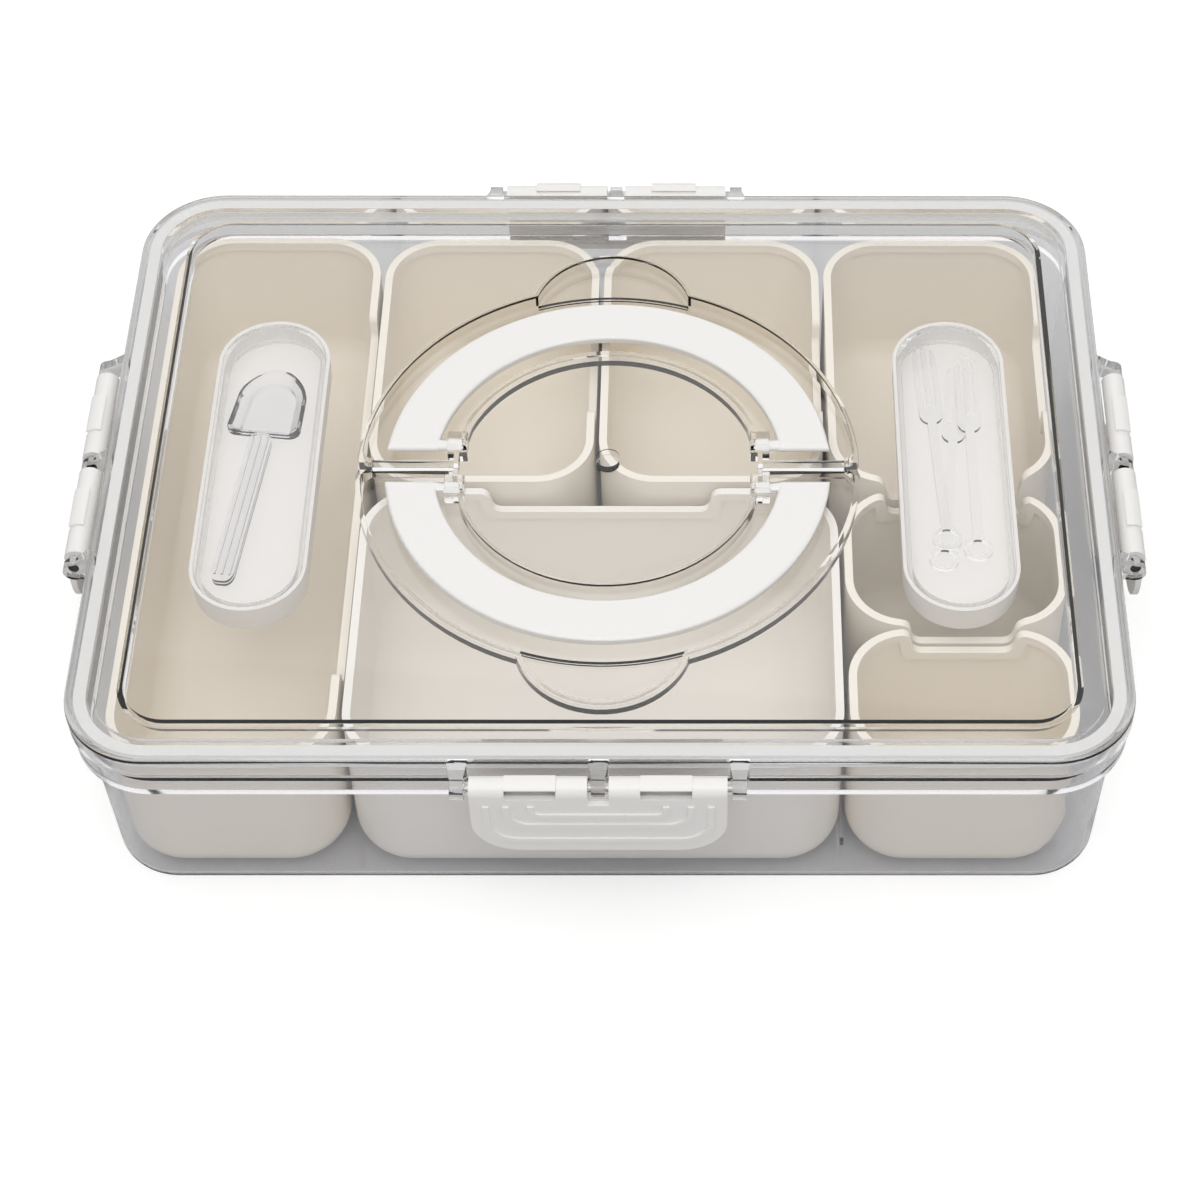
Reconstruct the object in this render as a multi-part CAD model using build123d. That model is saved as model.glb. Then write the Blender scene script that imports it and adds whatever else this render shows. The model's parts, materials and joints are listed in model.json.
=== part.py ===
from build123d import *
from math import cos, radians, sin, sqrt
import os

# A divided snack box: a clear tub and a clear lift-off lid held by four hinged latches,
# seven removable bins, two folding carry handles, and two cutlery trays under the lid.
# Millimetres. X runs left to right, Y front to back (the front is -Y), and Z = 0 is the table.

# Overall sizes
length = 380.0
depth = 284.3
height = 88.0
plan_radius = 31.5

# Tub
tub_floor = 2.5
tub_inset = 5.4
tub_draft = 2.0
tub_base_fillet = 6.5
tub_inner_fillet = 4.0
flange_inset = 1.0
flange_drop = 17.0
flange_thickness = 4.5
upstand_inset = 4.9
upstand_wall = 2.4
floor_rib_height = 5.0
floor_rib_length = 34.0
floor_rib_play = 0.3

# Bins
bin_rim_drop = 16.0
bin_wall = 1.6
bin_floor = 2.0
bin_corner = 22.0
bin_base_fillet = 14.0
bin_lip_width = 3.0
bin_lip_height = 4.0
bin_gap = 2.0
bins_side_play = 6.1
bins_front_play = 1.75
bins_shift_x = -3.0
side_bin_width = 82.5
rear_bin_depth = 131.0
large_bin_depth = 127.0
small_front_depth = 59.0
small_gap = 1.5
rear_bin_setback = 1.0
small_bin_setback = 5.0
notch_depth = 10.5
notch_slope = 2.0
notch_radius = 4.0
thumb_notch_width = 43.0
thumb_notch_shift = -4.0
large_notch_width = 82.0
long_notch_width = 174.0
long_notch_shift = -2.5
small_notch_width = 36.0
tray_notch_width = 50.0

# Lid
lid_wall = 2.5
lid_skin = 2.2
skirt_depth = 10.0
lid_edge_fillet = 2.5
step_x = 169.4
step_y = 124.2
step_radius = 16.0
step_draft = 0.6
recess_depth = 7.5
pocket_floor = 1.8
seal_rib_inset = 8.05
seal_rib_width = 2.5
seal_rib_height = 3.8
gate_radius = 4.6
gate_depth = 0.4
gate_y = 3.0

# Seal
seal_inset = 3.4
seal_width = 4.4
seal_height = 4.0

# Carry handles and their pocket
handle_outer = 84.7
handle_width = 18.9
handle_thickness = 5.6
handle_pivot_y = 10.8
handle_pivot_drop = 8.2
handle_edge = 1.6
handle_rest_gap = 0.3
pin_radius = 2.5
pin_play = 0.075
pin_block_gap = 4.3
pin_block_width = 7.5
pin_block_y_low = 4.5
pin_block_y_high = 17.3
pin_block_height = 4.2
pin_block_edge = 1.2
pin_tip_margin = 1.5
pin_end_play = 0.5
pocket_inner_play = 6.9
pocket_outer_play = 9.3
pocket_bridge = 3.0
pocket_corner = 4.0
thumb_radius = 31.3
thumb_setback = 4.7

# Cutlery trays
tray_width = 43.4
tray_length = 146.0
tray_x = 132.0
tray_y = 3.0
tray_depth = 10.8
tray_wall = 1.4
tray_draft = 0.5
tray_base_fillet = 2.0
tray_fit = 0.2
tray_spigot_wall = 1.8
tray_spigot_depth = 6.0

# Latches
pivot_out = 6.0
pivot_drop = 7.8
rod_radius = 2.3
rod_play = 0.06
lug_width = 4.8
lug_nose = 4.0
lug_flare = 7.0
lug_top_drop = 1.4
lug_root = 1.5
latch_width = 90.0
latch_side_play = 1.9
latch_drop = 31.9
latch_corner = 17.0
flap_thickness = 2.2
barrel_radius = 4.4
barrel_gap = 3.75
latch_clearance = 0.3
tongue_offset = 23.7
tongue_width = 18.0
tongue_radius = 5.6
tongue_end_angle = 110.0
window_drop = 1.2
window_angle = 45.0
rib_raise = 0.8
rib_width = 2.3
rib_top_drop = 4.5
rib_half_widths = [39.4, 32.3, 23.7]
rib_drops = [24.9, 16.0, 10.1]
rib_corners = [12.0, 9.0, 4.5]
hook_width = 70.0
hook_thickness = 2.0
hook_bite = 1.3
hook_play = 0.3
gusset_count = 4
gusset_width = 1.6
gusset_drop = 8.0

# Cutlery
fork_length = 104.0
fork_thickness = 1.4
fork_head_width = 9.0
fork_head_length = 40.0
fork_tine_length = 30.0
fork_tine_width = 1.9
fork_shaft_width = 3.6
fork_ring_radius = 5.6
fork_ring_wall = 1.6
fork_places = [(-6.0, 16.0, 3.0), (-0.5, 5.0, -6.0), (7.5, 9.0, 0.0)]
spoon_length = 107.0
spoon_thickness = 1.2
spoon_bowl_width = 28.5
spoon_bowl_length = 34.0
spoon_bowl_depth = 4.6
spoon_taper = 45.0
spoon_handle_width = 14.0
spoon_handle_corner = 5.0
spoon_tip_flat = 2.0
spoon_heel_radius = 4.0
spoon_nest = 1.8
spoon_place = (-4.5, -2.0, -6.5)

# Places that several pieces share
half_x = length / 2
half_y = depth / 2
plate_top = height - recess_depth
plate_low = plate_top - lid_skin
skin_low = height - lid_skin
skirt_low = height - skirt_depth
upstand_top = skin_low - seal_height
flange_high = height - flange_drop
flange_low = flange_high - flange_thickness
bin_rim = height - bin_rim_drop
tray_low = plate_low - tray_depth
handle_pivot_z = height - handle_pivot_drop
handle_inner = handle_outer - handle_width
pin_block_outer = handle_inner - pin_block_gap
pin_block_inner = pin_block_outer - pin_block_width
pocket_inner = handle_inner - pocket_inner_play
pocket_outer = handle_outer + pocket_outer_play
thumb_y = handle_outer - thumb_setback
pivot_z = height - pivot_drop
pocket_z = handle_pivot_z - handle_thickness / 2 - handle_rest_gap
tub_inner_inset = upstand_inset + upstand_wall
floor_half_x = half_x - tub_inner_inset - tub_draft
floor_half_y = half_y - tub_inner_inset - tub_draft
bins_low_x = bins_shift_x - floor_half_x + bins_side_play
bins_high_x = bins_shift_x + floor_half_x - bins_side_play
bins_front = bins_front_play - floor_half_y
bins_back = floor_half_y - bins_front_play


def block(x_size, y_size, radius, z_low, z_high):
    """An upright block with round corners in plan, centred on the origin."""
    return stand(RectangleRounded(x_size, y_size, radius), z_low, z_high)


def inset_block(inset, z_low, z_high):
    """A block that follows the lid's outline, set in from it all round."""
    return block(length - 2 * inset, depth - 2 * inset, plan_radius - inset, z_low, z_high)


def drafted_block(x_size, y_size, radius, z_low, z_high, draft, base_fillet):
    """A block whose walls lean in by draft from top to bottom, with a round lower edge."""
    low = RectangleRounded(x_size - 2 * draft, y_size - 2 * draft, radius - draft)
    high = RectangleRounded(x_size, y_size, radius)
    body = loft([Plane.XY.offset(z_low) * low, Plane.XY.offset(z_high) * high], ruled=True)
    return fillet(body.faces().sort_by(Axis.Z)[0].edges(), base_fillet)


def basin_block(x_size, y_size, radius, z_low, z_high, base_fillet):
    """A block with upright walls and a round lower edge."""
    body = block(x_size, y_size, radius, z_low, z_high)
    return fillet(body.faces().sort_by(Axis.Z)[0].edges(), base_fillet)


def stadium(x_size, y_size, z_low, z_high):
    """An upright block with fully round ends, long in Y."""
    return stand(SlotOverall(y_size, x_size, rotation=90), z_low, z_high)


def run_x(profile, x_low, x_high):
    """A sketch in Y and Z, drawn out along X."""
    return extrude(Plane.YZ.offset(x_low) * profile, amount=x_high - x_low, dir=(1, 0, 0))


def bar_x(x_low, x_high, y, z, radius):
    """A round bar along X."""
    return run_x(Pos(y, z) * Circle(radius), x_low, x_high)


def run_out(outline, near, far):
    """A sketch in X and Z, drawn out towards -Y."""
    return extrude(Plane.XZ.offset(near) * outline, amount=far - near, dir=(0, -1, 0))


def stand(outline, z_low, z_high):
    """A plan outline, drawn up from one height to another."""
    return extrude(Plane.XY.offset(z_low) * outline, amount=z_high - z_low, dir=(0, 0, 1))


def slab(x_low, x_high, y_low, y_high, z_low, z_high):
    """A plain box between two corners."""
    size = (x_high - x_low, y_high - y_low, z_high - z_low)
    return Pos(x_low, y_low, z_low) * Box(*size, align=(Align.MIN, Align.MIN, Align.MIN))


def make_tub():
    outer = drafted_block(
        length - 2 * tub_inset, depth - 2 * tub_inset, plan_radius - tub_inset,
        0, flange_low, tub_draft, tub_base_fillet)
    flange = inset_block(flange_inset, flange_low, flange_high)
    upstand = inset_block(upstand_inset, flange_high, upstand_top)
    cavity = drafted_block(
        length - 2 * tub_inner_inset, depth - 2 * tub_inner_inset, plan_radius - tub_inner_inset,
        tub_floor, upstand_top, tub_draft, tub_inner_fillet)
    ribs = Part()
    for x, y in floor_rib_places():
        width = bin_gap - 2 * floor_rib_play
        half = floor_rib_length / 2
        ribs += slab(x - width / 2, x + width / 2, y - half, y + half, tub_floor / 2,
                     tub_floor + floor_rib_height)
    return outer + flange + upstand - cavity + ribs


def floor_rib_places():
    """The ribs stand in the gaps between neighbouring bins."""
    places = []
    for name in ("bin_rear_left", "bin_rear_middle", "bin_rear_right"):
        x_low, x_high, y_low, y_high = bin_plan[name]
        places.append((x_low - bin_gap / 2, (y_low + y_high) / 2))
    for name in ("bin_large", "bin_small_front"):
        x_low, x_high, y_low, y_high = bin_plan[name]
        places.append((x_low - bin_gap / 2, (y_low + y_high) / 2))
    return places


def plan_of_bins():
    """Each bin's rim as x_low, x_high, y_low, y_high."""
    plan = {}
    long_high = bins_low_x + side_bin_width
    plan["bin_long"] = (bins_low_x, long_high, bins_front, bins_back)
    rear_width = (bins_high_x - long_high - 3 * bin_gap) / 3
    rear_high = bins_back - rear_bin_setback
    for index, name in enumerate(("left", "middle", "right")):
        x_low = long_high + bin_gap + index * (rear_width + bin_gap)
        plan["bin_rear_" + name] = (x_low, x_low + rear_width, rear_high - rear_bin_depth, rear_high)
    small_low = bins_high_x - side_bin_width
    plan["bin_large"] = (
        long_high + bin_gap, small_low - bin_gap, bins_front, bins_front + large_bin_depth)
    small_front_high = bins_front + small_front_depth
    plan["bin_small_front"] = (small_low, bins_high_x, bins_front, small_front_high)
    plan["bin_small_rear"] = (
        small_low, bins_high_x, small_front_high + small_gap, -small_bin_setback)
    return plan


bin_plan = plan_of_bins()


def notches_of_bins():
    """Low stretches of rim: the wall's side, the centre along the wall and the width."""
    rear_low, rear_high = bin_plan["bin_rear_left"][2:]
    thumb = ("right", (rear_low + rear_high) / 2 + thumb_notch_shift, thumb_notch_width)
    large_low, large_high = bin_plan["bin_large"][:2]
    return {
        "bin_long": [("right", long_notch_shift, long_notch_width)],
        "bin_rear_left": [thumb],
        "bin_rear_middle": [thumb],
        "bin_rear_right": [thumb, ("front", tray_x, tray_notch_width)],
        "bin_large": [("back", (large_low + large_high) / 2, large_notch_width)],
        "bin_small_rear": [("back", tray_x, tray_notch_width), ("front", tray_x, small_notch_width)],
        "bin_small_front": [("back", tray_x, small_notch_width)],
    }


def notch_prism(bounds, side, centre, width, grow):
    """A wedge-sided cut through one wall, grown all round by grow for the lip that follows it."""
    x_low, x_high, y_low, y_high = bounds
    reach = 2 * bin_lip_width + grow
    half = width / 2 + grow
    z_low = bin_rim - notch_depth - grow
    flare = half + notch_slope
    above = bin_rim + notch_radius
    wide = flare + notch_radius * 3
    outline = Polygon(
        (-half, z_low), (half, z_low), (flare, bin_rim), (wide, bin_rim), (wide, above),
        (-wide, above), (-wide, bin_rim), (-flare, bin_rim), align=None)
    rounded = [v for v in outline.vertices() if abs(v.X) < flare + 0.1]
    outline = fillet(rounded, notch_radius)
    if side == "right":
        place = Plane((x_high - reach, centre, 0), x_dir=(0, 1, 0), z_dir=(1, 0, 0))
    elif side == "left":
        place = Plane((x_low + reach, centre, 0), x_dir=(0, -1, 0), z_dir=(-1, 0, 0))
    elif side == "back":
        place = Plane((centre, y_high - reach, 0), x_dir=(-1, 0, 0), z_dir=(0, 1, 0))
    else:
        place = Plane((centre, y_low + reach, 0), x_dir=(1, 0, 0), z_dir=(0, -1, 0))
    return extrude(place * outline, amount=2 * reach, dir=place.z_dir)


def make_bin(name):
    bounds = bin_plan[name]
    x_low, x_high, y_low, y_high = bounds
    x_size = x_high - x_low
    y_size = y_high - y_low
    centre = Pos((x_low + x_high) / 2, (y_low + y_high) / 2, 0)
    outer = centre * basin_block(x_size, y_size, bin_corner, tub_floor, bin_rim, bin_base_fillet)
    inner = centre * basin_block(
        x_size - 2 * bin_wall, y_size - 2 * bin_wall, bin_corner - bin_wall,
        tub_floor + bin_floor, bin_rim, bin_base_fillet - bin_floor)
    lip_low = bin_rim - bin_lip_height
    band_low = lip_low - notch_depth
    mouth = centre * block(
        x_size - 2 * bin_lip_width, y_size - 2 * bin_lip_width, bin_corner - bin_lip_width,
        band_low, bin_rim)
    band = outer - mouth
    lip = band & centre * block(x_size, y_size, bin_corner, lip_low, bin_rim)
    body = outer - inner + lip
    for side, along, width in notches_of_bins()[name]:
        body += band & notch_prism(bounds, side, along, width, bin_lip_height)
    for side, along, width in notches_of_bins()[name]:
        body -= notch_prism(bounds, side, along, width, 0)
    return body


def pocket_outline(grow):
    """Plan of the handles' pocket: two half rings, each with a round finger well."""
    outline = Circle(pocket_outer + grow)
    outline += Pos(0, thumb_y) * Circle(thumb_radius + grow)
    outline += Pos(0, -thumb_y) * Circle(thumb_radius + grow)
    outline -= Circle(pocket_inner - grow)
    outline -= Rectangle(3 * pocket_outer, 2 * (pocket_bridge - grow))
    corners = [v for v in outline.vertices() if abs(v.X) > thumb_y and abs(v.Y) < 2 * pocket_bridge]
    return fillet(corners, pocket_corner)


def make_lid():
    cap = inset_block(0, skirt_low, height)
    cap = fillet(cap.faces().sort_by(Axis.Z)[-1].edges(), lid_edge_fillet)
    under = inset_block(lid_wall, skirt_low, skin_low)
    basin = block(
        2 * (step_x + lid_skin), 2 * (step_y + lid_skin), step_radius + lid_skin, plate_low, skin_low)
    well_low = RectangleRounded(
        2 * (step_x - step_draft), 2 * (step_y - step_draft), step_radius - step_draft)
    well_high = RectangleRounded(2 * step_x, 2 * step_y, step_radius)
    well = loft([Plane.XY.offset(plate_top) * well_low, Plane.XY.offset(height) * well_high], ruled=True)
    lid = cap - under + basin
    lid += stand(pocket_outline(pocket_floor), pocket_z - pocket_floor, plate_top)
    lid -= well
    lid -= stand(pocket_outline(0), pocket_z, height)
    lid -= stand(Pos(0, gate_y) * Circle(gate_radius), plate_top - gate_depth, plate_top)
    seal_rib_low = skin_low - seal_rib_height
    lid += inset_block(seal_rib_inset, seal_rib_low, skin_low) - inset_block(
        seal_rib_inset + seal_rib_width, seal_rib_low, skin_low)
    for x in (-tray_x, tray_x):
        lid += Pos(x, tray_y, 0) * tray_spigot()
    for block_solid in pin_blocks():
        lid += block_solid
    for bore in pin_bores():
        lid -= bore
    for place in latch_places():
        lid += place * latch_mount()
    return lid


def tray_spigot():
    """The stadium-shaped wall under the lid that a tray pushes onto."""
    outer_x = tray_width - 2 * (tray_wall + tray_fit)
    outer_y = tray_length - 2 * (tray_wall + tray_fit)
    low = plate_low - tray_spigot_depth
    inner = stadium(outer_x - 2 * tray_spigot_wall, outer_y - 2 * tray_spigot_wall, low, plate_low)
    return stadium(outer_x, outer_y, low, plate_low) - inner


def pin_blocks():
    """Four raised blocks that carry the handles' pins."""
    blocks = []
    top = handle_pivot_z + pin_block_height
    for x_side in (-1, 1):
        for y_side in (-1, 1):
            x_mid = x_side * (pin_block_inner + pin_block_outer) / 2
            y_mid = y_side * (pin_block_y_low + pin_block_y_high) / 2
            low = pocket_z - pocket_floor
            body = Pos(x_mid, y_mid, (low + top) / 2) * Box(
                pin_block_width, pin_block_y_high - pin_block_y_low, top - low)
            top_edges = body.faces().sort_by(Axis.Z)[-1].edges()
            blocks.append(fillet(top_edges, pin_block_edge))
    return blocks


def pin_bores():
    bores = []
    for y in (-handle_pivot_y, handle_pivot_y):
        radius = pin_radius + pin_play
        low = pin_block_inner + pin_tip_margin
        for x_low, x_high in ((low, pin_block_outer + 1), (-pin_block_outer - 1, -low)):
            bores.append(bar_x(x_low, x_high, y, handle_pivot_z, radius))
    return bores


def latch_places():
    """The four sides of the lid, each with its own local frame: X along, -Y outward."""
    return [
        Pos(0, -half_y, 0),
        Pos(0, half_y, 0) * Rot(0, 0, 180),
        Pos(-half_x, 0, 0) * Rot(0, 0, -90),
        Pos(half_x, 0, 0) * Rot(0, 0, 90),
    ]


def lug_centres():
    side = latch_width / 2 + latch_side_play + lug_width / 2
    return (-side, 0, side)


def latch_mount():
    """A clear rod and its three lugs, moulded on the lid's side wall."""
    nose = Pos(-pivot_out, pivot_z) * Circle(lug_nose)
    lug_top = height - lug_top_drop
    web = Polygon(
        (lug_root, skirt_low), (lug_root, lug_top), (0, lug_top), (-pivot_out, pivot_z + lug_nose),
        (-pivot_out, pivot_z - lug_nose), (0, skirt_low), align=None)
    profile = nose + web
    reach = pivot_out + lug_nose
    low, middle, high = lug_centres()
    mount = bar_x(low, high, -pivot_out, pivot_z, rod_radius)
    for centre in (low, middle, high):
        side = run_x(profile, centre - lug_flare / 2, centre + lug_flare / 2)
        plan = Polygon(
            (-lug_flare / 2, lug_root), (-lug_flare / 2, 0), (-lug_width / 2, -reach / 2),
            (-lug_width / 2, -reach - 1), (lug_width / 2, -reach - 1), (lug_width / 2, -reach / 2),
            (lug_flare / 2, 0), (lug_flare / 2, lug_root), align=None)
        mount += side & stand(Pos(centre, 0) * plan, pivot_z - 2 * lug_nose, height)
    return mount


def make_seal():
    ring = inset_block(seal_inset, upstand_top, skin_low)
    return ring - inset_block(seal_inset + seal_width, upstand_top, skin_low)


def make_handle():
    """The front handle, lying flat; the back one is the same turned half a turn."""
    ring = Circle(handle_outer) - Circle(handle_inner)
    tip = handle_pivot_y - handle_thickness / 2
    half = ring & Pos(0, -tip - handle_outer / 2) * Rectangle(2 * handle_outer, handle_outer)
    low = handle_pivot_z - handle_thickness / 2
    body = stand(half, low, low + handle_thickness)
    arcs = [e for e in body.edges() if e.geom_type == GeomType.CIRCLE]
    body = fillet(arcs, handle_edge)
    end = bar_x(-handle_outer, handle_outer, -handle_pivot_y, handle_pivot_z, handle_thickness / 2)
    far = slab(-handle_outer, handle_outer, -handle_outer - 1, -handle_pivot_y, low, low + handle_thickness)
    body = body & (end + far)
    inner = sqrt(handle_inner ** 2 - handle_pivot_y ** 2)
    tip_x = pin_block_inner + pin_tip_margin + pin_end_play
    for x_low, x_high in ((tip_x, inner + 2 * handle_edge), (-inner - 2 * handle_edge, -tip_x)):
        body += bar_x(x_low, x_high, -handle_pivot_y, handle_pivot_z, pin_radius)
    return body


def make_tray():
    low = SlotOverall(tray_length - 2 * tray_draft, tray_width - 2 * tray_draft, rotation=90)
    high = SlotOverall(tray_length, tray_width, rotation=90)
    outer = loft([Plane.XY.offset(tray_low) * low, Plane.XY.offset(plate_low) * high], ruled=True)
    outer = fillet(outer.faces().sort_by(Axis.Z)[0].edges(), tray_base_fillet)
    inner = stadium(
        tray_width - 2 * tray_wall, tray_length - 2 * tray_wall, tray_low + tray_wall, plate_low)
    return outer - inner


def make_latch():
    """One latch in its local frame: X along the lid's edge, -Y outward, hung on its rod."""
    outer = pivot_out + barrel_radius
    half = latch_width / 2
    outline = Pos(0, pivot_z - latch_drop / 2) * Rectangle(latch_width, latch_drop)
    low_corners = outline.vertices().sort_by(Axis.Y)[:2]
    outline = fillet(low_corners, latch_corner)
    latch = run_out(outline, outer - flap_thickness, outer)
    for x_low, x_high in ((-half, -barrel_gap), (barrel_gap, half)):
        latch += bar_x(x_low, x_high, -pivot_out, pivot_z, barrel_radius)
    for x in (-tongue_offset, tongue_offset):
        latch += tongue(x)
    for half_width, rib_drop, corner in zip(rib_half_widths, rib_drops, rib_corners):
        latch += u_rib(half_width, pivot_z - rib_drop, corner, outer)
    latch += hook(outer - flap_thickness)
    latch -= bar_x(-half - 1, half + 1, -pivot_out, pivot_z, rod_radius + rod_play)
    lug_room = lug_nose + latch_clearance
    latch -= slab(-barrel_gap, barrel_gap, -outer - tongue_radius, -pivot_out + lug_room,
                  pivot_z - lug_room, pivot_z + tongue_radius)
    for x in (-tongue_offset, tongue_offset):
        latch -= tongue_window(x)
    return latch


def sector(radius, angle_low, angle_high):
    """A pie slice about the rod in the YZ plane, with angles measured up from outward."""
    points = [(0, 0)]
    for angle in (angle_low, (angle_low + angle_high) / 2, angle_high):
        reach = radius / cos(radians(angle_high - angle_low) / 4)
        points.append((-reach * cos(radians(angle)), reach * sin(radians(angle))))
    return Pos(-pivot_out, pivot_z) * Polygon(*points, align=None)


def tongue(x):
    """The raised clip over the rod, between the window's top edge and just behind the top."""
    wrap = Pos(-pivot_out, pivot_z) * Circle(tongue_radius)
    wrap = wrap & sector(2 * tongue_radius, window_angle, tongue_end_angle)
    return run_x(wrap, x - tongue_width / 2, x + tongue_width / 2)


def tongue_window(x):
    """The opening under the clip, through which the rod shows."""
    reach = 2 * tongue_radius
    side = reach * sin(radians(window_angle))
    opening = Polygon(
        (0, -window_drop), (0, 0), (-side, side), (-reach, side), (-reach, -window_drop), align=None)
    opening = Pos(-pivot_out, pivot_z) * opening
    return run_x(opening, x - tongue_width / 2, x + tongue_width / 2)


def u_rib(half_width, low, corner, outer):
    """A raised U on the flap's face, open at the top."""
    rib_top = pivot_z - rib_top_drop
    tall = 2 * (rib_top - low)
    outline = Pos(0, rib_top) * RectangleRounded(2 * half_width + rib_width, tall + rib_width, corner)
    inside = Pos(0, rib_top) * RectangleRounded(
        2 * half_width - rib_width, tall - rib_width, corner - rib_width)
    lower = Pos(0, rib_top - tall) * Rectangle(4 * half_width, 2 * tall)
    return run_out((outline - inside) & lower, outer, outer + rib_raise)


def hook(inner_face):
    """The catch behind the flap that reaches under the tub's flange, with its gussets."""
    high = flange_low - hook_play
    low = high - hook_thickness
    tip = flange_inset + hook_bite
    profile = Polygon(
        (-inner_face, low), (-inner_face, high), (tip, high), (tip - hook_thickness, low), align=None)
    catch = run_x(profile, -hook_width / 2, hook_width / 2)
    gusset = Polygon((-inner_face, low), (-inner_face, low - gusset_drop), (0, low), align=None)
    step = (hook_width - gusset_width) / (gusset_count - 1)
    for index in range(gusset_count):
        x_low = -hook_width / 2 + index * step
        catch += run_x(gusset, x_low, x_low + gusset_width)
    return catch


def make_fork(level):
    """A slim three-tined fork with a ring at its end, lying at one level of the stack."""
    x, y, turn = fork_places[level]
    half = fork_length / 2
    head = Pos(0, half - fork_head_length / 2) * SlotOverall(
        fork_head_length, fork_head_width, rotation=90)
    shaft_length = fork_length - fork_head_length
    shaft = Pos(0, fork_ring_radius + fork_ring_wall - half + shaft_length / 2) * Rectangle(
        fork_shaft_width, shaft_length)
    ring = Pos(0, fork_ring_radius - half) * Circle(fork_ring_radius)
    hole = Pos(0, fork_ring_radius - half) * Circle(fork_ring_radius - fork_ring_wall)
    outline = head + shaft + ring - hole
    gap = (fork_head_width - 3 * fork_tine_width) / 2
    for side in (-1, 1):
        slot_x = side * (fork_tine_width + gap) / 2
        outline -= Pos(slot_x, half) * Rectangle(gap, 2 * fork_tine_length)
    low = tray_low + tray_wall + level * fork_thickness
    fork = Rot(0, 0, turn) * stand(outline, low, low + fork_thickness)
    return Pos(tray_x + x, tray_y + y, 0) * fork


def make_spoon(level):
    """A wide scoop of a spoon; the second one nests in the first."""
    x, y, turn = spoon_place
    bowl_low = tray_low + tray_wall + level * spoon_nest
    rim = bowl_low + spoon_bowl_depth
    half = spoon_length / 2

    def scoop(inset):
        width = spoon_bowl_width - 2 * inset
        reach = spoon_bowl_length - 2 * inset
        high = Rectangle(width, reach)
        corners = high.vertices().sort_by(Axis.Y)
        high = fillet(corners[2:], (width - spoon_tip_flat) / 2)
        return fillet(high.vertices().sort_by(Axis.Y)[:2], spoon_heel_radius)

    centre = Pos(0, half - spoon_bowl_length / 2)
    outer = extrude(Plane.XY.offset(rim) * centre * scoop(0), amount=-spoon_bowl_depth, taper=spoon_taper)
    inner = extrude(
        Plane.XY.offset(rim) * centre * scoop(spoon_thickness), amount=spoon_thickness - spoon_bowl_depth,
        taper=spoon_taper)
    handle_length = spoon_length - spoon_bowl_length + spoon_thickness
    handle = Pos(0, handle_length / 2 - half) * RectangleRounded(
        spoon_handle_width, handle_length, spoon_handle_corner)
    spoon = outer + stand(handle, rim - spoon_thickness, rim) - inner
    return Pos(x - tray_x, tray_y + y, 0) * Rot(0, 0, turn) * spoon


parts = {
    "tub": make_tub(),
    "lid": make_lid(),
    "lid_seal": make_seal(),
    "handle_front": make_handle(),
    "handle_back": Rot(0, 0, 180) * make_handle(),
    "tray_left": Pos(-tray_x, tray_y, 0) * make_tray(),
    "tray_right": Pos(tray_x, tray_y, 0) * make_tray(),
    "spoon_lower": make_spoon(0),
    "spoon_upper": make_spoon(1),
    "fork_low": make_fork(0),
    "fork_middle": make_fork(1),
    "fork_high": make_fork(2),
}
for bin_name in bin_plan:
    parts[bin_name] = make_bin(bin_name)
for side_name, place in zip(("front", "back", "left", "right"), latch_places()):
    parts["latch_" + side_name] = place * make_latch()

os.makedirs("parts", exist_ok=True)
for node, solid in parts.items():
    export_step(solid, f"parts/{node}.step")
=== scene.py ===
import bpy
import bmesh
import json
from math import cos, hypot, radians, sin
from mathutils import Matrix, Vector


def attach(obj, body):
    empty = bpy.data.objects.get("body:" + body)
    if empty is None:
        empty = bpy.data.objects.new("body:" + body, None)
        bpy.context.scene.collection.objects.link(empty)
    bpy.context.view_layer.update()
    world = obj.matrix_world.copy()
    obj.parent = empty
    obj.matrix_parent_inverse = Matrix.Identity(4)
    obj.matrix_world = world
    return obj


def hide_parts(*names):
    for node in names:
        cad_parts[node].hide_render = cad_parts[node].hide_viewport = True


# A clear divided snack box with ivory bins, white latches and handles, on a white table.
# Metres, in the CAD model's own frame.

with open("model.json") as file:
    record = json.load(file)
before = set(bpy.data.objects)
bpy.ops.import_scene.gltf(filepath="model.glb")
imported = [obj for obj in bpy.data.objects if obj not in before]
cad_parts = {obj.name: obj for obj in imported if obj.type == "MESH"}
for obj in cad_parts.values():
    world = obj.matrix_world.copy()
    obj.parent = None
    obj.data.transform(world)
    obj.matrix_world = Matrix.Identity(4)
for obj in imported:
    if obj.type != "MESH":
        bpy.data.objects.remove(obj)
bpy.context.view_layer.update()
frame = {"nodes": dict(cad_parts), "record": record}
bodies = frame["record"]["behaviour"]["bodies"]
body_of_node = {node: body for body, nodes in bodies.items() for node in nodes}
slot_of_node = {part["node"]: part["material_slot"] for part in frame["record"]["subparts"]}

# Camera, as the photograph was taken
sensor = 36.0
lens = 85.717
shift_x = -0.10134
shift_y = -0.01009
camera_place = Vector((0.039889, -0.715537, 0.900188))
camera_pitch = radians(51.3012)
camera_yaw = radians(0.2805)
camera_roll = radians(0.2423)

# Light: the world is softer as a light than where these rays see it
world_light = 0.49
world_seen = 1.0
seeing_rays = ("Is Glossy Ray", "Is Transmission Ray", "Is Camera Ray")
lamps = {
    "top": {"place": (-0.15, -0.1, 1.7), "aim": (0, 0, 0.05), "size": 1.6, "power": 9.0},
    "front": {"place": (0.1, -0.95, 1.45), "aim": (0, 0, 0.05), "size": 1.0, "power": 7.0},
    "back": {"place": (0.1, 1.2, 0.9), "aim": (0, 0, 0.08), "size": 1.2, "power": 2.5},
}

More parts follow.
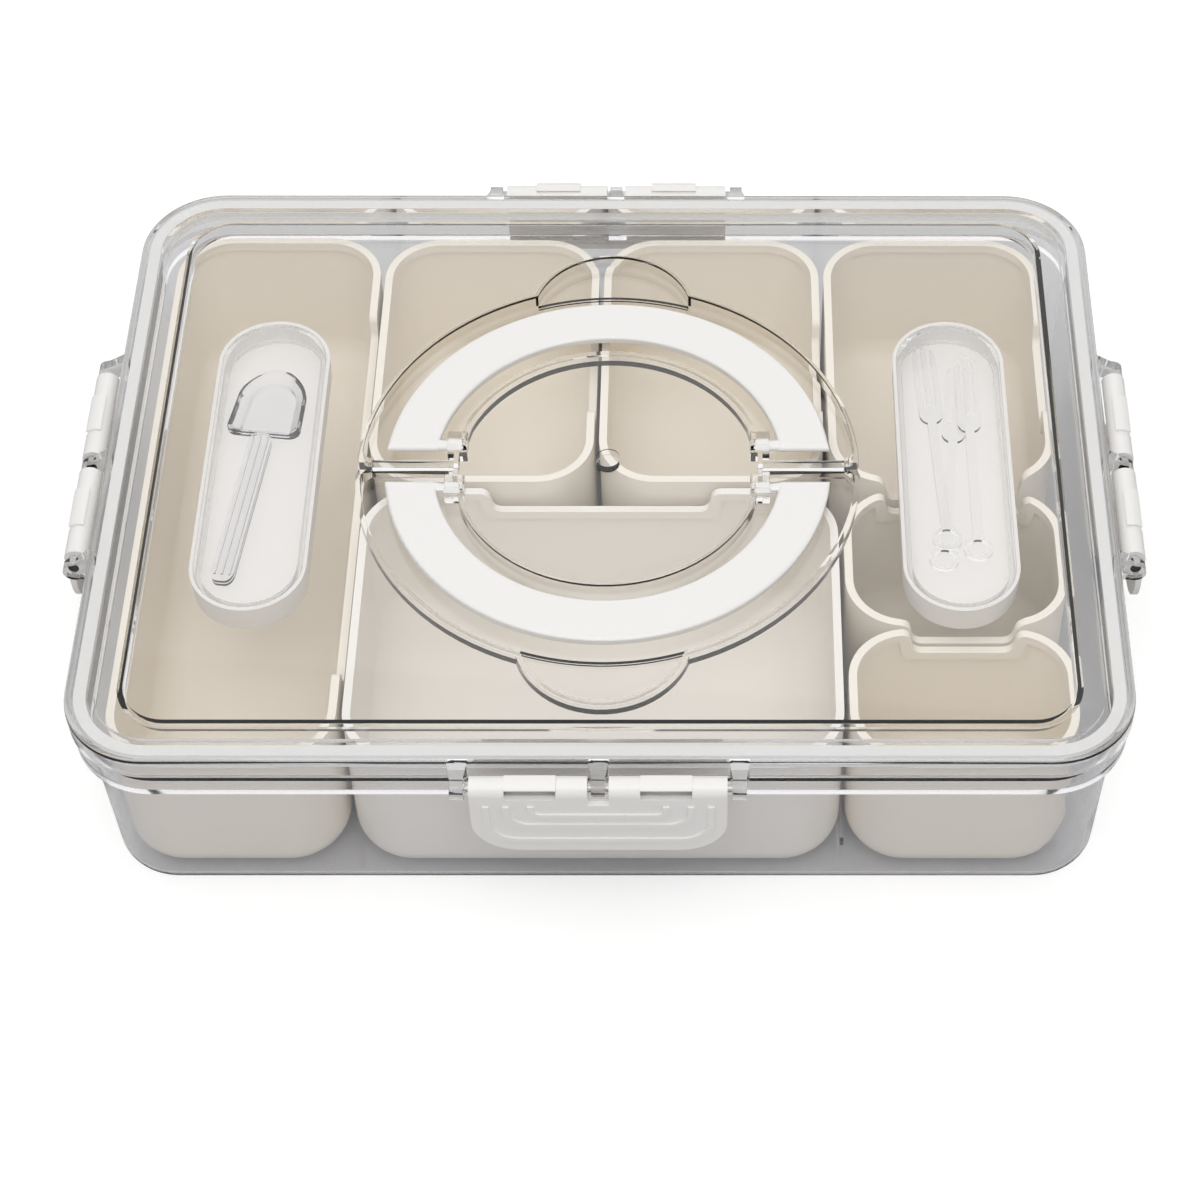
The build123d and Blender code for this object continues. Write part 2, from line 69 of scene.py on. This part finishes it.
# Moulded skin: a fine grain over slow ripples
grain_detail = 3
ripple_detail = 2
ripple_scale = 22
ripple_height = 3.0
ripple_middle = 0.5
clear_grain_scale = 60.0
clear_spread = 0.02
clear_ior = 1.49

# Colours
ivory = (0.93, 0.87, 0.77, 1)
pale_ivory = (0.93, 0.89, 0.83, 1)
white = (0.865, 0.85, 0.83, 1)
tray_white = (0.86, 0.835, 0.805, 1)
seal_white = (0.82, 0.815, 0.80, 1)
clear_tint = (0.975, 0.975, 0.98, 1)
tub_tint = (0.968, 0.968, 0.985, 1)
clear_shade = (0.985, 0.985, 0.985, 1)
tub_shade = (0.94, 0.94, 0.945, 1)

# Table top: its glow to the camera rises from near the object to far from it
floor_half = 4
floor_gap = 0.0003
floor_white = 0.64
floor_near = 0.4
floor_far = 1.6
floor_glow = 0.5
floor_glow_far = 0.8

# Shown copies
merge_distance = 2e-6
smooth_angle = radians(32)
normal_weight = 80

# The lid and handles as the CAD model has them
level_play = 0.00002
arc_play = 0.00004
plate_top = 0.0805
plate_low = 0.0783
gate_depth = 0.0004
under_x = 0.1716
under_y = 0.1264
under_radius = 0.0182
pivot_y = 0.0108
pivot_z = 0.0798
bore_radius = 0.002575
pin_radius = 0.0025
lug_low_x = 0.0538
lug_high_x = 0.0616
lug_low_y = 0.0044
lug_high_y = 0.0174
lug_middle = 0.0109
bridge_half = 0.003
ring_inner = 0.0575
ring_outer = 0.0955
handle_inner_x = 0.0645
handle_top = 0.0826

# How their shown copies differ
plate_raise = 0.0018
under_lean = 0.0022
pin_shrink = 0.68
lug_shrink = 0.62
lug_raise = 0.0008
bridge_shown = 0.0018
handle_thin = 0.66

# The spoon as the CAD model has it, along its own axis from its middle
spoon_x = -0.1365
spoon_y = 0.001
spoon_turn = radians(-6.5)
spoon_half = 0.0535
spoon_heel = 0.021
spoon_widest = 0.027
spoon_handle_half = 0.007

# How the shown cutlery differs
fork_thin = 0.86
spoon_thin = 0.97
spoon_handle_narrow = 0.62
spoon_tip_narrow = 0.3

# Small pieces made here
spoon_rib_gap = 0.0028
spoon_rib_width = 0.0009
spoon_rib_height = 0.0008
spoon_rib_play = 0.006
spoon_rib_round = 0.3
spoon_rib_steps = 2
disc_radius = 0.0044
disc_height = 0.0005
disc_sides = 64
disc_round = 0.4
disc_round_steps = 3
well_floor = 0.0767
well_line_radius = 0.0912
well_line_width = 0.0012
well_line_height = 0.0013
well_line_angle = radians(38)
well_line_steps = 40


def add_to_scene(name, data):
    made = bpy.data.objects.new(name, data)
    bpy.context.scene.collection.objects.link(made)
    return made


def empty_tree(owner):
    """The nodes and links of a material or world, with nothing in them yet."""
    owner.use_nodes = True
    owner.node_tree.nodes.clear()
    return owner.node_tree.nodes, owner.node_tree.links


def add_math(nodes, operation):
    node = nodes.new("ShaderNodeMath")
    node.operation = operation
    return node


def make_camera():
    """A camera turned by pitch, yaw and roll, with the photograph's off-centre framing."""
    forward = Vector((
        sin(camera_yaw) * cos(camera_pitch), cos(camera_yaw) * cos(camera_pitch), -sin(camera_pitch)))
    level = Vector((cos(camera_yaw), -sin(camera_yaw), 0))
    upright = level.cross(forward)
    right = level * cos(camera_roll) + upright * sin(camera_roll)
    up = upright * cos(camera_roll) - level * sin(camera_roll)
    data = bpy.data.cameras.new("camera")
    data.sensor_width = sensor
    data.lens = lens
    data.shift_x = shift_x
    data.shift_y = shift_y
    camera = add_to_scene("camera", data)
    turn = Matrix((right, up, -forward)).transposed()
    camera.matrix_world = Matrix.Translation(camera_place) @ turn.to_4x4()
    bpy.context.scene.camera = camera


def make_area_light(name, place, aim, size, power):
    """A square lamp that lights and glints, and isn't seen through clear plastic."""
    data = bpy.data.lights.new(name, "AREA")
    data.shape = "SQUARE"
    data.size = size
    data.energy = power
    lamp = add_to_scene(name, data)
    lamp.location = place
    lamp.rotation_euler = (Vector(aim) - Vector(place)).to_track_quat("-Z", "Y").to_euler()
    lamp.visible_transmission = False


def make_world():
    """White past the object, in reflections and through clear plastic, and softer as a light."""
    world = bpy.data.worlds.new("studio")
    bpy.context.scene.world = world
    nodes, links = empty_tree(world)
    path = nodes.new("ShaderNodeLightPath")
    level = None
    for ray in seeing_rays:
        step = nodes.new("ShaderNodeMix")
        step.data_type = "FLOAT"
        links.new(path.outputs[ray], step.inputs["Factor"])
        if level is None:
            step.inputs["A"].default_value = world_light
        else:
            links.new(level, step.inputs["A"])
        step.inputs["B"].default_value = world_seen
        level = step.outputs["Result"]
    sky = nodes.new("ShaderNodeBackground")
    sky.inputs["Color"].default_value = (1, 1, 1, 1)
    links.new(level, sky.inputs["Strength"])
    out = nodes.new("ShaderNodeOutputWorld")
    links.new(sky.outputs[0], out.inputs["Surface"])


def fine_grain_group():
    """Moulded plastic's skin: a fine grain over faint, slow ripples, as a height and a roughness."""
    group = bpy.data.node_groups.new("moulded_skin", "ShaderNodeTree")
    for name in ("Grain Scale", "Base Roughness", "Spread"):
        group.interface.new_socket(name=name, in_out="INPUT", socket_type="NodeSocketFloat")
    for name in ("Height", "Roughness"):
        group.interface.new_socket(name=name, in_out="OUTPUT", socket_type="NodeSocketFloat")
    nodes, links = group.nodes, group.links
    start = nodes.new("NodeGroupInput")
    end = nodes.new("NodeGroupOutput")
    place = nodes.new("ShaderNodeTexCoord")
    grain = nodes.new("ShaderNodeTexNoise")
    grain.inputs["Detail"].default_value = grain_detail
    links.new(place.outputs["Object"], grain.inputs["Vector"])
    links.new(start.outputs["Grain Scale"], grain.inputs["Scale"])
    ripple = nodes.new("ShaderNodeTexNoise")
    ripple.inputs["Scale"].default_value = ripple_scale
    ripple.inputs["Detail"].default_value = ripple_detail
    links.new(place.outputs["Object"], ripple.inputs["Vector"])
    height = add_math(nodes, "MULTIPLY_ADD")
    height.inputs[1].default_value = ripple_height
    links.new(ripple.outputs["Fac"], height.inputs[0])
    links.new(grain.outputs["Fac"], height.inputs[2])
    links.new(height.outputs[0], end.inputs["Height"])
    centred = add_math(nodes, "SUBTRACT")
    centred.inputs[1].default_value = ripple_middle
    links.new(ripple.outputs["Fac"], centred.inputs[0])
    rough = add_math(nodes, "MULTIPLY_ADD")
    links.new(centred.outputs[0], rough.inputs[0])
    links.new(start.outputs["Spread"], rough.inputs[1])
    links.new(start.outputs["Base Roughness"], rough.inputs[2])
    links.new(rough.outputs[0], end.inputs["Roughness"])
    return group


skin = fine_grain_group()


def new_material(name):
    material = bpy.data.materials.new(name)
    nodes, links = empty_tree(material)
    return material, nodes, links


def end_with(nodes, links, surface):
    """Puts a surface on the material's output."""
    out = nodes.new("ShaderNodeOutputMaterial")
    links.new(surface.outputs[0], out.inputs["Surface"])


def moulded_shader(nodes, links, colour, grain_scale, roughness, spread, depth):
    """A plastic's own shader, with the shared skin at this surface's values."""
    shader = nodes.new("ShaderNodeBsdfPrincipled")
    shader.inputs["Base Color"].default_value = colour
    grain = nodes.new("ShaderNodeGroup")
    grain.node_tree = skin
    grain.inputs["Grain Scale"].default_value = grain_scale
    grain.inputs["Base Roughness"].default_value = roughness
    grain.inputs["Spread"].default_value = spread
    bump = nodes.new("ShaderNodeBump")
    bump.inputs["Strength"].default_value = 1.0
    bump.inputs["Distance"].default_value = depth
    links.new(grain.outputs["Height"], bump.inputs["Height"])
    links.new(bump.outputs["Normal"], shader.inputs["Normal"])
    links.new(grain.outputs["Roughness"], shader.inputs["Roughness"])
    return shader


def opaque_plastic(name, colour, grain_scale, roughness, spread, depth, coat=0.0):
    material, nodes, links = new_material(name)
    shader = moulded_shader(nodes, links, colour, grain_scale, roughness, spread, depth)
    shader.inputs["Coat Weight"].default_value = coat
    end_with(nodes, links, shader)
    return material


def clear_plastic(name, tint, shade, roughness, depth):
    """Clear plastic that lets light through to what is inside, so that its shadows stay pale."""
    material, nodes, links = new_material(name)
    shader = moulded_shader(nodes, links, tint, clear_grain_scale, roughness, clear_spread, depth)
    shader.inputs["Transmission Weight"].default_value = 1.0
    shader.inputs["IOR"].default_value = clear_ior
    path = nodes.new("ShaderNodeLightPath")
    passing = add_math(nodes, "MAXIMUM")
    links.new(path.outputs["Is Shadow Ray"], passing.inputs[0])
    links.new(path.outputs["Is Diffuse Ray"], passing.inputs[1])
    through = nodes.new("ShaderNodeBsdfTransparent")
    through.inputs["Color"].default_value = shade
    mix = nodes.new("ShaderNodeMixShader")
    links.new(passing.outputs[0], mix.inputs[0])
    links.new(shader.outputs[0], mix.inputs[1])
    links.new(through.outputs[0], mix.inputs[2])
    end_with(nodes, links, mix)
    return material


materials = {
    "clear_shell": clear_plastic(
        "clear_shell", clear_tint, clear_shade, roughness=0.02, depth=0.000002),
    "clear_tub": clear_plastic(
        "clear_tub", tub_tint, tub_shade, roughness=0.05, depth=0.000002),
    "clear_cutlery": clear_plastic(
        "clear_cutlery", clear_tint, clear_shade, roughness=0.06, depth=0.000004),
    "bin_plastic": opaque_plastic(
        "bin_plastic", ivory, grain_scale=1400.0, roughness=0.48, spread=0.10, depth=0.00003),
    "pale_bin_plastic": opaque_plastic(
        "pale_bin_plastic", pale_ivory, grain_scale=1400.0, roughness=0.48, spread=0.10, depth=0.00003),
    "white_plastic": opaque_plastic(
        "white_plastic", white, grain_scale=1200.0, roughness=0.34, spread=0.08, depth=0.00002, coat=0.1),
    "tray_plastic": opaque_plastic(
        "tray_plastic", tray_white, grain_scale=1200.0, roughness=0.40, spread=0.08, depth=0.00002),
    "seal": opaque_plastic(
        "seal", seal_white, grain_scale=1500.0, roughness=0.55, spread=0.05, depth=0.00003),
}
# Nodes that look a little different from the rest of their slot
surface_of_node = {
    "tub": "clear_tub",
    "bin_large": "pale_bin_plastic",
    "tray_left": "tray_plastic",
    "tray_right": "tray_plastic",
}


def at_level(z, level):
    return abs(z - level) < level_play


def side_of(value):
    return 1 if value > 0 else -1


def slim_pin(vertex):
    """Draws a point of a pin or its bore in, towards the handle's axis."""
    x, y, z = vertex.co
    vertex.co.y = side_of(y) * (pivot_y + (abs(y) - pivot_y) * pin_shrink)
    vertex.co.z = pivot_z + (z - pivot_z) * pin_shrink


def shape_lid(bm):
    """Lifts the lid's plate, leans the wall under its step, and slims its lugs and bridge."""
    for vertex in bm.verts:
        x, y, z = vertex.co
        wide, deep = abs(x), abs(y)
        if wide > under_x + level_play or deep > under_y + level_play:
            continue
        from_axis = hypot(deep - pivot_y, z - pivot_z)
        in_lug = lug_low_x < wide < lug_high_x and lug_low_y < deep < lug_high_y
        if in_lug and abs(from_axis - bore_radius) < level_play:
            slim_pin(vertex)
            continue
        if in_lug:
            vertex.co.y = side_of(y) * (lug_middle + (deep - lug_middle) * lug_shrink)
            if z > plate_top + level_play:
                vertex.co.z = z + lug_raise
        elif deep < bridge_half + level_play and ring_inner < hypot(x, y) < ring_outer:
            vertex.co.y = side_of(y) * bridge_shown
        if at_level(z, plate_top) or at_level(z, plate_low) or at_level(z, plate_top - gate_depth):
            vertex.co.z = z + plate_raise
        if at_level(z, plate_low):
            past_x = max(wide - under_x + under_radius, 0)
            past_y = max(deep - under_y + under_radius, 0)
            if abs(hypot(past_x, past_y) - under_radius) < arc_play:
                lean = under_lean / under_radius
                vertex.co.x = side_of(x) * (wide - past_x * lean)
                vertex.co.y = side_of(y) * (deep - past_y * lean)


def shape_handle(bm):
    """Thins the grip from below and slims its pins about their own axis."""
    for vertex in bm.verts:
        x, y, z = vertex.co
        from_axis = hypot(abs(y) - pivot_y, z - pivot_z)
        if abs(x) < handle_inner_x + level_play and from_axis < pin_radius + level_play:
            slim_pin(vertex)
        else:
            vertex.co.z = handle_top - (handle_top - z) * handle_thin


def shape_tray(bm):
    """Lifts the tray's rim with the plate that it hangs under."""
    for vertex in bm.verts:
        if at_level(vertex.co.z, plate_low):
            vertex.co.z += plate_raise


def shape_fork(bm):
    """Thins the fork a little, so that stacked forks and the tray's floor stay apart."""
    low = min(vertex.co.z for vertex in bm.verts)
    high = max(vertex.co.z for vertex in bm.verts)
    middle = (low + high) / 2
    for vertex in bm.verts:
        vertex.co.z = middle + (vertex.co.z - middle) * fork_thin


def shape_spoon(bm):
    """Narrows the handle and the bowl's tip, in the spoon's own turned frame."""
    across = Vector((cos(spoon_turn), sin(spoon_turn), 0))
    along = Vector((-sin(spoon_turn), cos(spoon_turn), 0))
    high = max(vertex.co.z for vertex in bm.verts)
    for vertex in bm.verts:
        offset = vertex.co - Vector((spoon_x, spoon_y, vertex.co.z))
        side, up = offset.dot(across), offset.dot(along)
        if up < spoon_heel and abs(side) < spoon_handle_half + level_play:
            vertex.co -= across * side * (1 - spoon_handle_narrow)
        elif up > spoon_widest:
            share = (up - spoon_widest) / (spoon_half - spoon_widest)
            vertex.co -= across * side * spoon_tip_narrow * share * share
        vertex.co.z = high - (high - vertex.co.z) * spoon_thin


shaping = {
    "lid": shape_lid,
    "handle_front": shape_handle,
    "handle_back": shape_handle,
    "tray_left": shape_tray,
    "tray_right": shape_tray,
    "fork_low": shape_fork,
    "fork_middle": shape_fork,
    "fork_high": shape_fork,
    "spoon_lower": shape_spoon,
    "spoon_upper": shape_spoon,
}


def add_mesh(name, bm, material):
    """A new object of the scene, with one material on it."""
    mesh = bpy.data.meshes.new(name)
    bm.to_mesh(mesh)
    bm.free()
    mesh.materials.append(material)
    return add_to_scene(name, mesh)


def smooth_copy(node):
    """A shown copy of a CAD node, with its facets merged and its curves shaded smooth."""
    bm = bmesh.new()
    bm.from_mesh(frame["nodes"][node].data)
    bmesh.ops.remove_doubles(bm, verts=bm.verts, dist=merge_distance)
    if node in shaping:
        shaping[node](bm)
    for edge in bm.edges:
        edge.smooth = edge.calc_face_angle(0) < smooth_angle
    for face in bm.faces:
        face.smooth = True
        face.material_index = 0
    surface = surface_of_node.get(node, slot_of_node[node])
    shown = add_mesh(node + "_shown", bm, materials[surface])
    weigh = shown.modifiers.new("weighted_normals", "WEIGHTED_NORMAL")
    weigh.keep_sharp = True
    weigh.weight = normal_weight
    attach(shown, body_of_node[node])
    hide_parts(node)


def new_piece(name, bm, surface):
    """A small piece that rides with the lid, with its normals outward."""
    bmesh.ops.recalc_face_normals(bm, faces=bm.faces)
    piece = add_mesh(name, bm, materials[surface])
    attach(piece, body_of_node["lid"])


def round_edges(bm, edges, width, steps):
    bmesh.ops.bevel(
        bm, geom=edges, offset=width, affect="EDGES", segments=steps, profile=0.5, material=-1)


def make_centre_disc():
    """The small moulded disc at the middle of the lid, left bare, with a round edge."""
    bm = bmesh.new()
    place = Matrix.Translation((0, 0, plate_top + plate_raise + disc_height / 2))
    bmesh.ops.create_cone(
        bm, cap_ends=True, segments=disc_sides, radius1=disc_radius, radius2=disc_radius,
        depth=disc_height, matrix=place)
    rims = [edge for edge in bm.edges if any(len(face.verts) == disc_sides for face in edge.link_faces)]
    round_edges(bm, rims, disc_height * disc_round, disc_round_steps)
    new_piece("centre_disc", bm, "clear_shell")


def make_well_line(name, middle):
    """The low step where the handles' ring pocket runs across a finger well."""
    bm = bmesh.new()
    start = middle - well_line_angle / 2
    outer = well_line_radius + well_line_width
    top = well_floor + well_line_height
    corners = [
        bm.verts.new((radius * cos(start), radius * sin(start), z))
        for radius, z in (
            (well_line_radius, well_floor), (outer, well_floor), (outer, top), (well_line_radius, top))]
    profile = bm.faces.new(corners)
    bmesh.ops.spin(
        bm, geom=[profile] + list(profile.edges) + corners, cent=(0, 0, 0), axis=(0, 0, 1),
        angle=well_line_angle, steps=well_line_steps)
    new_piece(name, bm, "clear_shell")


def make_spoon_ribs():
    """Three low ribs along the upper spoon's handle."""
    top = max(vertex.co.z for vertex in frame["nodes"]["spoon_upper"].data.vertices)
    turn = Matrix.Translation((spoon_x, spoon_y, top)) @ Matrix.Rotation(spoon_turn, 4, "Z")
    middle = (spoon_heel - spoon_half) / 2
    length = spoon_heel + spoon_half - spoon_rib_play
    size = Matrix.Diagonal((spoon_rib_width, length, spoon_rib_height, 1))
    for index, side in enumerate((-spoon_rib_gap, 0, spoon_rib_gap)):
        bm = bmesh.new()
        bmesh.ops.create_cube(bm, size=1, matrix=turn @ Matrix.Translation((side, middle, 0)) @ size)
        round_edges(bm, list(bm.edges), spoon_rib_height * spoon_rib_round, spoon_rib_steps)
        new_piece(f"spoon_rib_{index}", bm, "clear_cutlery")


def table_top():
    """Matt white that keeps a soft shadow, with a glow that only the camera sees."""
    material, nodes, links = new_material("table_top")
    matt = nodes.new("ShaderNodeBsdfDiffuse")
    matt.inputs["Color"].default_value = (floor_white, floor_white, floor_white, 1)
    place = nodes.new("ShaderNodeTexCoord")
    away = nodes.new("ShaderNodeVectorMath")
    away.operation = "LENGTH"
    links.new(place.outputs["Object"], away.inputs[0])
    fade = nodes.new("ShaderNodeMapRange")
    fade.inputs["From Min"].default_value = floor_near
    fade.inputs["From Max"].default_value = floor_far
    fade.inputs["To Min"].default_value = floor_glow
    fade.inputs["To Max"].default_value = floor_glow_far
    links.new(away.outputs["Value"], fade.inputs["Value"])
    path = nodes.new("ShaderNodeLightPath")
    direct = add_math(nodes, "MULTIPLY")
    links.new(path.outputs["Is Camera Ray"], direct.inputs[0])
    links.new(fade.outputs["Result"], direct.inputs[1])
    glow = nodes.new("ShaderNodeEmission")
    links.new(direct.outputs[0], glow.inputs["Strength"])
    both = nodes.new("ShaderNodeAddShader")
    links.new(matt.outputs[0], both.inputs[0])
    links.new(glow.outputs[0], both.inputs[1])
    end_with(nodes, links, both)
    return material


def make_floor():
    """A wide white table top, a hair below the box, so that the two never share a face."""
    bm = bmesh.new()
    bmesh.ops.create_grid(
        bm, x_segments=1, y_segments=1, size=floor_half, matrix=Matrix.Translation((0, 0, -floor_gap)))
    add_mesh("floor", bm, table_top())


make_camera()
make_world()
for name, lamp in lamps.items():
    make_area_light(name, **lamp)
make_floor()
for node in frame["nodes"]:
    smooth_copy(node)
make_centre_disc()
make_spoon_ribs()
make_well_line("well_line_front", radians(-90))
make_well_line("well_line_back", radians(90))

bpy.context.scene.view_settings.view_transform = "Standard"
